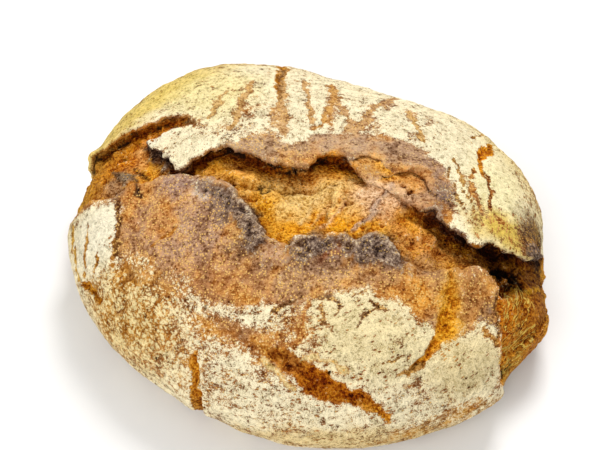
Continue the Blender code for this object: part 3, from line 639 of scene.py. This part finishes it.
def loaf_form(x, y):
    """Points of the crust at places on the map, their height, and the marks that colour them."""
    to_base = CRUST_LENGTH * stretch(x, y) - np.hypot(x, y)
    calm = smooth(to_base, 1.0, CALM_EDGE)
    far_back, side_x, side_y, (overhang, depth) = nearest(*ragged(x, y), BACK_LIP)
    shift, height, down, turn = fold(far_back, overhang * calm, depth)
    x, y = x + shift * side_x, y + shift * side_y
    lip = smooth(depth, 1.0, 6.0)

    far_front, _, _, (rise, drop) = nearest(*ragged(x, y), FRONT_EDGE)
    behind_ridge = np.maximum(-far_front, 0.0)
    from_wall = np.maximum(far_back + shift + overhang, 0.0)
    share = behind_ridge / (behind_ridge + from_wall + 1e-6)
    open_front = smooth(behind_ridge, 0.0, 3.5)
    floor = (drop + (depth - drop) * share ** FLOOR_CURVE) * open_front
    ridge = smooth(far_front, -1.5, 0.5) * (1.0 - smooth(far_front, RIDGE_CREST, RIDGE_WIDTH))
    crumb = down * open_front * smooth(to_base, 12.0, 45.0)
    rough = crumb * (1.0 - END_CALM * smooth(x, END_START, END_FINISH))
    height = height * (1.0 - down) - floor * down + rise * ridge + rough * relief(x, y, CRUMB_RELIEF, 9)
    # painted shade in the tear, near the wall below the lip
    painted_shade = down * (1.0 - smooth(from_wall, 1.0, 8.0))

    x, y, height, crumb, painted_shade = small_details(x, y, height, down, crumb, painted_shade)
    seen, normal = see_from_front(x, y, height)
    edge_x, edge_y = edge = ragged(*seen)
    wide = (edge_x + relief(*seen, MARK_RAGGEDNESS, 41), edge_y + relief(*seen, MARK_RAGGEDNESS, 45))

    behind = smooth(-nearest(*edge, BACK_FLOUR)[0], -4.0, 4.0) * (1.0 - smooth(turn, 0.6, 1.0))
    before = smooth(nearest(*edge, FRONT_FLOUR)[0], -5.0, 5.0)
    flour = BACK_COVER * behind + FRONT_COVER * before * (1.0 - behind)
    flour += patches(*seen, FLOUR_MARKS) * np.maximum(behind, before)
    side = smooth(np.hypot(x, y), 112.0, 150.0) * smooth(y, -25.0, 45.0)
    low = 1.0 - smooth(to_base, 6.0, 50.0)
    flour -= side * (0.2 + relief(x, y, SIDE_MOTTLE, 81)) + 0.3 * low
    flour += 0.75 * side * (1.0 - smooth(to_base, 8.0, 62.0)) * (LOW_COVER - flour)
    flour *= 1.0 - smooth(crumb, 0.2, 0.6)

    belt = smooth(rise, 1.2, 2.6) * smooth(far_front, -4.0, -1.0) * (1.0 - smooth(far_front, 6.0, 20.0))
    char = patches(*edge, CHAR_MARKS) + 0.3 * belt
    # soot on the turned lips, heavier at the flap: their own char, and partly a painted shade line under
    # them
    char += (0.3 + 0.5 * smooth(x, 60, 80)) * lip * smooth(turn, 0.5, 1.0) * (1.0 - down)
    # painted shade: strong orange crumb under the lip, darker where the tear is deepest
    painted_depth_shade = 1.0 - 0.55 * smooth(depth, 12.0, 17.0)
    painted_lip_shade = crumb * down * (1.0 - smooth(from_wall, 6.0, 16.0)) * smooth(depth, 5.0, 11.0)

    strokes = []
    uneven = 1.0 + noise(*seen, 4.0, 71)
    for line, colour, groove in STROKES:
        far, _, _, (width,) = nearest(*edge, line)
        width = width * uneven
        inside = STROKE_COVER * (1.0 - smooth(np.abs(far), 0.2 * width, 0.75 * width))
        height -= groove * inside
        flour *= 1.0 - inside
        # the deeper grooves get painted shade inside
        if groove > PIT_GROOVE:
            painted_shade = np.maximum(painted_shade, inside)
        strokes.append((inside, tint(colour)))

    slab = patches(*seen, SLAB_MARKS)
    height += fine_relief(x, y, crumb, char, slab, far_front, far_back)
    # lighter crumb under the bright marks, taken off the painted shade
    painted_shade = painted_shade - crumb * patches(*seen, BRIGHT_MARKS)
    for pore_x, pore_y, radius, hollow in PORES:
        away = np.hypot(edge_x - pore_x, edge_y - pore_y) / radius
        height += 0.3 * hollow * np.exp(-6.0 * (away - 1.15) ** 2) - hollow * (1.0 - smooth(away, 0.4, 1.1))
        # painted shade inside the pore
        painted_shade = np.maximum(painted_shade, 1.0 - smooth(away, 0.3, 0.95))

    painted_lip_shade_layer = 0.7 * painted_lip_shade, np.outer(painted_depth_shade, tint(PAINTED_SHADE_CRUMB))
    white = painted(*wide, tint(FLOUR_COLOUR), DUST_MARKS)
    spark = blend(tint(SPARK_COLOUR), tint(CRUMB_SPARK), crumb)
    marks = {
        "flour": flour,
        "crumb": crumb,
        "painted_shade": painted_shade,
        # the rim of a torn lip where it turns under: its own dark crust, and painted shade
        "edge": lip * smooth(turn, 0.6, 1.0) * (1.0 - smooth(from_wall, 0.0, 3.0)),
        "char": char * (1.0 - 0.4 * crumb),
        "crackle": patches(*seen, CRACKLE_MARKS),
        "speckle": patches(*seen, SPECKLE_MARKS),
        "wrinkle": patches(*seen, WRINKLE_MARKS),
        "streak": patches(*seen, STREAK_MARKS),
        "ground": crust_colour(wide, crumb, painted_lip_shade_layer, strokes, side, low),
        "spark": painted(*wide, spark, SPARK_MARKS),
        "dust": blend(white, tint(SIDE_FLOUR), 0.75 * side),
    }
    crest = smooth(rise, 1.0, 3.0) * (1.0 - smooth(np.abs(far_front), 1.0, 6.0)) * (1.0 - down)
    return plain_point(x, y) + (height * calm)[:, None] * normal, height, crest, marks


class NodeMaker:
    """Makes one material out of nodes and hands back the sockets that they give out."""

    def __init__(self, name):
        self.material = bpy.data.materials.new(name)
        self.material.use_nodes = True
        self.place = self.add("TexCoord").outputs["Object"]

    def feed(self, socket, value):
        if isinstance(value, bpy.types.NodeSocket):
            self.material.node_tree.links.new(value, socket)
        else:
            socket.default_value = value

    def feed_named(self, node, values):
        for name, value in values.items():
            self.feed(node.inputs[name.replace("_", " ")], value)

    def add(self, kind, *values, operation=None, **named):
        """A new node whose inputs are fed in their order or by their names."""
        node = self.material.node_tree.nodes.new("ShaderNode" + kind)
        if operation:
            node.operation = operation
        for socket, value in zip(node.inputs, values):
            self.feed(socket, value)
        self.feed_named(node, named)
        return node

    def finish(self, **named):
        """Feeds the surface and hands back the material."""
        self.feed_named(self.material.node_tree.nodes["Principled BSDF"], named)
        return self.material

    def mark(self, name, output="Fac"):
        node = self.add("Attribute")
        node.attribute_name = name
        return node.outputs[output]

    def calc(self, operation, *values):
        return self.add("Math", *values, operation=operation).outputs[0]

    def times(self, first, second):
        return self.calc("MULTIPLY", first, second)

    def less(self, value):
        """What is left of 1 without the value."""
        return self.calc("SUBTRACT", 1.0, value)

    def total(self, start, *parts):
        """The start value plus each part times its weight."""
        for socket, weight in parts:
            start = self.calc("MULTIPLY_ADD", socket, weight, start)
        return start

    def step(self, value, low, high):
        """0 at low and 1 at high, with a soft start and finish."""
        node = self.add("MapRange", Value=value, From_Min=low, From_Max=high)
        node.interpolation_type = "SMOOTHSTEP"
        return node.outputs[0]

    def scaled(self, vector, scale):
        return self.add("Mapping", Vector=vector, Scale=scale).outputs[0]

    def grain(self, size_mm, detail=2.0, roughness=0.6, vector=None, twist=0.0):
        """Noise about 0 with grains of that size."""
        node = self.add("TexNoise", Vector=vector or self.place, Scale=1.0 / (size_mm * MM),
                        Detail=detail, Roughness=roughness, Distortion=twist)
        return self.calc("MULTIPLY_ADD", node.outputs[0], 4.0, -2.0)

    def cells(self, size_mm, vector):
        """Distance from the borders between cells of that size."""
        node = self.add("TexVoronoi", Vector=vector, Scale=1.0 / (size_mm * MM))
        node.feature = "DISTANCE_TO_EDGE"
        return node.outputs["Distance"]

    def sown(self, size_mm, reach, share, vector=None):
        """Crisp specks scattered about: 1 on a speck, 0 between. A share of the places has one."""
        node = self.add("TexVoronoi", Vector=vector or self.place, Scale=1.0 / (size_mm * MM))
        near = self.step(node.outputs["Distance"], reach, 0.6 * reach)
        return self.times(near, self.calc("LESS_THAN", node.outputs["Color"], share))

    def bent(self, vector, size_mm, amount_mm):
        """A vector pushed to and fro by noise."""
        node = self.add("TexNoise", Vector=vector, Scale=1.0 / (size_mm * MM))
        return self.add("VectorMath", node.outputs["Color"], (2 * amount_mm * MM,) * 3, vector,
                        operation="MULTIPLY_ADD").outputs[0]

    def colours(self, value, *stops):
        node = self.add("ValToRGB", value)
        elements = node.color_ramp.elements
        while len(elements) < len(stops):
            elements.new(0.5)
        for i, colour in enumerate(stops):
            elements[i].position = i / (len(stops) - 1)
            elements[i].color = shade(*colour)
        return node.outputs[0]

    def toned(self, colour, lift):
        """The colour made paler where lift is over 0, and darker and deeper where it is under."""
        deepness = self.calc("MAXIMUM", self.total(1.0, (lift, -0.7)), 0.92)
        brightness = self.calc("MAXIMUM", self.total(1.0, (lift, 0.5)), 0.2)
        deeper = self.add("Gamma", Color=colour, Gamma=deepness)
        return self.add("VectorMath", deeper.outputs[0], operation="SCALE", Scale=brightness).outputs[0]

    def mix(self, share, first, second):
        node = self.add("Mix", share)
        node.data_type = "RGBA"
        self.feed(node.inputs[6], first)
        self.feed(node.inputs[7], second)
        return node.outputs[2]


def shade(red, green, blue, share=LIGHT_SHARE):
    """A surface colour from how it looks on a screen, 0 to 255, in the studio's light."""
    return tuple((value / 255) ** 2.2 * share for value in (red, green, blue)) + (1.0,)


def loaf_material():
    """Browned and charred crust, orange crumb and dusted flour, laid out by the marks, with painted light
    on bumps and painted shade in hollows, cavities and under the lips.
    """
    n = NodeMaker("rye_crust")
    crumb, char, height, painted_shade = n.mark("crumb"), n.mark("char"), n.mark("relief"), n.mark("painted_shade")
    ring, crackle = n.mark("ring", "Vector"), n.mark("crackle")
    coarse, middle = n.grain(COARSE, 3.0), n.grain(MIDDLE, 3.0, 0.65)
    fine, dust = n.grain(FINE, 2.5, 0.7), n.grain(DUST, 1.0)
    radial = n.grain(1.0, 3.0, 0.6, n.scaled(ring, (0.34, 0.34, 0.035)))
    hoops = n.grain(1.0, 3.0, 0.6, n.scaled(ring, (0.06, 0.06, 0.3)))
    torn = n.step(n.total(crumb, (middle, 0.2), (fine, 0.1)), 0.3, 0.65)

    # specks and small cracks
    gold_share = n.total(0.52, (middle, 0.35), (coarse, 0.4), (crumb, -0.3), (painted_shade, -0.7), (char, -0.25))
    rust_share = n.total(0.28, (middle, -0.25), (coarse, -0.3), (crumb, 0.12))
    fleck_share = n.total(0.22, (middle, -0.25), (coarse, -0.2), (n.mark("speckle"), 0.4))
    gold, rust = n.sown(GOLD_SPECK, 0.52, gold_share), n.sown(RUST_SPECK, 0.52, rust_share)
    flecks = n.sown(FLECK, 0.5, fleck_share, n.scaled(ring, (0.45, 0.45, 0.95)))
    pits = n.sown(PIT, 0.26, 0.55)
    crevice = n.less(n.step(n.cells(CREVICE_CELL, n.bent(n.place, 3.0, 1.2)), 0.0, 0.25))
    web = n.cells(WEB_CELL, n.bent(n.scaled(ring, (0.75, 0.75, 1.0)), 3.0, 1.3))
    line = n.less(n.step(n.calc("ABSOLUTE", radial), 0.03, 0.3))
    creases = n.grain(CREASE, 2.0, 0.5, n.scaled(ring, (0.35, 0.35, 1.0)), 0.4)
    ridge = n.times(n.step(n.calc("ABSOLUTE", creases), 0.16, 0.05), n.mark("wrinkle"))

    # bare crust and crumb, charred in places, with painted light on bumps and painted shade in hollows,
    # cavities and crevices
    lift = n.total(0.08, (coarse, 0.35), (middle, 0.45), (fine, 0.65), (dust, 0.25), (height, 0.36),
                   (painted_shade, -0.6), (pits, -0.4), (rust, -0.5), (torn, 0.15), (n.times(torn, fine), 0.35),
                   (n.times(torn, crevice), -0.3))
    ground = n.toned(n.mark("ground", "Color"), lift)
    ground = n.mix(n.times(gold, 0.85), ground, n.mark("spark", "Color"))
    scales = n.total(0.42, (fine, 0.5), (middle, 0.4), (height, 0.25), (dust, 0.15))
    burnt = n.step(n.total(char, (middle, 0.35), (fine, 0.25), (coarse, 0.3)), 0.3, 0.85)
    ground = n.mix(n.times(burnt, n.total(0.85, (gold, -0.4))), ground, n.colours(scales, *SOOT))
    broken = n.step(n.total(0.45, (coarse, 0.7), (middle, 0.4)), 0.2, 0.8)
    # the torn lip's dark rim: its own dark crust, and painted shade under the lip
    ground = n.mix(n.times(n.mark("edge"), broken), ground, shade(*LIP_RIM_AND_SHADE_COLOUR))
    # golden wrinkle ridges: their own gold, and a painted highlight
    wrinkled = n.step(n.total(ridge, (middle, 0.3)), 0.3, 0.55)
    ground = n.mix(wrinkled, ground, shade(*WRINKLE_GOLD_AND_HIGHLIGHT, 1.0))

    # flour over it, with painted light on its bumps and painted shade in its hollows
    cover = n.total(n.mark("flour"), (radial, 0.15), (hoops, 0.2), (middle, 0.25), (fine, 0.25),
                    (dust, 0.25), (height, 0.12), (flecks, -0.75), (coarse, 0.12),
                    (n.times(n.less(n.step(web, 0.04, 0.3)), crackle), -0.6),
                    (n.times(line, n.mark("streak")), -0.25))
    thick = n.step(cover, 0.3, 0.7)
    powder = n.total(0.0, (cover, 0.12), (coarse, 0.3), (fine, 0.35), (middle, 0.3), (hoops, 0.12),
                     (dust, 0.4), (height, 0.35), (pits, -0.4))
    colour = n.mix(n.times(thick, 0.9), ground, n.toned(n.mark("dust", "Color"), powder))

    # bumps too small for the mesh
    crumbly = n.total(0.0, (middle, 0.6), (fine, 0.6), (crevice, -0.4))
    bumps = n.total(0.0, (fine, 0.4), (middle, 0.5), (dust, 0.1), (pits, -0.6), (gold, 0.2),
                    (thick, 0.12), (n.times(n.step(web, 0.0, 0.3), crackle), 0.35),
                    (n.times(crumb, crumbly), 1.0), (ridge, 0.8))
    bump = n.add("Bump", Distance=MM, Strength=1.0, Height=bumps)
    roughness = n.total(0.62, (thick, 0.3), (torn, 0.12))
    return n.finish(Base_Color=colour, Normal=bump.outputs[0], Roughness=roughness,
                    Specular_IOR_Level=0.06)


def blurred(values, side, reach):
    """A square field averaged over squares of 2 reach + 1."""
    field = values.reshape(side, side)
    for _ in range(2):
        padded = np.pad(field, ((reach + 1, reach), (0, 0)), mode="edge")
        sums = np.cumsum(padded, axis=0)
        field = ((sums[2 * reach + 1:] - sums[:-2 * reach - 1]) / (2 * reach + 1)).T
    return field.ravel()


def loaf_mesh():
    """A square grid, rounded to a disc, laid over the crust and closed by a flat face."""
    shape = bmesh.new()
    bmesh.ops.create_grid(shape, x_segments=SEGMENTS, y_segments=SEGMENTS, size=1.0)
    grid = np.array([vertex.co[:2] for vertex in shape.verts])
    disc = grid * np.sqrt(1.0 - 0.5 * grid[:, ::-1] ** 2)
    out = np.hypot(disc[:, 0], disc[:, 1])
    reach = CRUST_LENGTH * stretch(disc[:, 0], disc[:, 1])
    reach *= TOP_SHARE + (1.0 - TOP_SHARE) * out ** 4
    map_x, map_y = disc[:, 0] * reach, disc[:, 1] * reach
    points, height, crest, marks = loaf_form(map_x, map_y)
    points *= MM
    points[:, 2] = np.maximum(points[:, 2], 0.0)

    low, high = (np.array(corner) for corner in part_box("loaf"))
    own_low, own_high = points.min(0), points.max(0)
    points = low + (points - own_low) * (high - low) / (own_high - own_low)

    for vertex, point in zip(shape.verts, points):
        vertex.co = point
    rim = [edge for edge in shape.edges if edge.is_boundary]
    base = bmesh.ops.contextual_create(shape, geom=rim)["faces"]
    bmesh.ops.recalc_face_normals(shape, faces=shape.faces)
    for face in shape.faces:
        face.smooth = True
    for face in base:
        face.smooth = False
    sheet = shape.loops.layers.uv.new("OFBake")
    for face in shape.faces:
        for corner in face.loops:
            x, y = disc[corner.vert.index]
            if face in base:
                corner[sheet].uv = BASE_ISLAND * (1.0 + x), BASE_ISLAND * (1.0 + y)
            else:
                corner[sheet].uv = 0.5 + TOP_ISLAND * x, 0.5 + TOP_ISLAND * y
    mesh = bpy.data.meshes.new("loaf_crust")
    shape.to_mesh(mesh)
    shape.free()

    side = SEGMENTS + 1
    # the relief mark gives painted light on bumps and painted shade in hollows; the charred ridge's crest
    # gets no painted light
    bumpy = np.clip((height - blurred(height, side, 3)) / RELIEF_SPAN, -1.5, 1.5)
    marks["relief"] = bumpy * (1.0 - crest * (bumpy > 0.0))
    for name, values in marks.items():
        if values.ndim == 1:
            mesh.attributes.new(name, "FLOAT", "POINT").data.foreach_set("value", values)
        else:
            values = np.column_stack([values, np.ones(len(values))]).ravel()
            mesh.attributes.new(name, "FLOAT_COLOR", "POINT").data.foreach_set("color", values)
    far = np.maximum(np.hypot(map_x, map_y), 1e-6)
    ring = np.stack([map_x / far * 100, map_y / far * 100, far], axis=1) * MM
    mesh.attributes.new("ring", "FLOAT_VECTOR", "POINT").data.foreach_set("vector", ring.ravel())
    return mesh


def add_loaf():
    loaf = bpy.data.objects.new("loaf_crust", loaf_mesh())
    bpy.context.scene.collection.objects.link(loaf)
    loaf.data.materials.append(loaf_material())
    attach(loaf, "root")
    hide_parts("loaf")


def add_floor():
    bpy.ops.mesh.primitive_plane_add(size=FLOOR_SIZE, location=(0.0, 0.0, -FLOOR_GAP))
    floor = bpy.context.object
    floor.name = "floor"
    n = NodeMaker("pale_floor")
    mottle = n.total(0.5, (n.grain(FLOOR_GRAIN), 0.2))
    floor.data.materials.append(n.finish(Base_Color=n.colours(mottle, *FLOOR_COLOURS), Roughness=0.7))


def aim(thing, place, target):
    thing.location = place
    thing.rotation_euler = (Vector(target) - Vector(place)).to_track_quat("-Z", "Y").to_euler()


def add_light(name, place, size, power):
    light = bpy.data.lights.new(name, "AREA")
    light.size = size
    light.energy = power
    lamp = bpy.data.objects.new(name, light)
    bpy.context.scene.collection.objects.link(lamp)
    aim(lamp, place, LIGHT_TARGET)


def add_studio():
    world = bpy.data.worlds.new("studio")
    bpy.context.scene.world = world
    world.use_nodes = True
    background = world.node_tree.nodes["Background"]
    background.inputs["Color"].default_value = (1.0, 1.0, 1.0, 1.0)
    background.inputs["Strength"].default_value = WORLD_LIGHT
    add_light("key", *KEY_LIGHT)
    add_light("fill", *FILL_LIGHT)
    bpy.context.scene.view_settings.view_transform = "Standard"


def add_camera():
    lens = bpy.data.cameras.new("camera")
    lens.lens = LENS
    lens.sensor_width = SENSOR
    camera = bpy.data.objects.new("camera", lens)
    bpy.context.scene.collection.objects.link(camera)
    aim(camera, Vector(CAMERA_TARGET) + CAMERA_FAR * Vector(VIEWER), CAMERA_TARGET)
    bpy.context.scene.camera = camera


add_loaf()
add_floor()
add_studio()
add_camera()
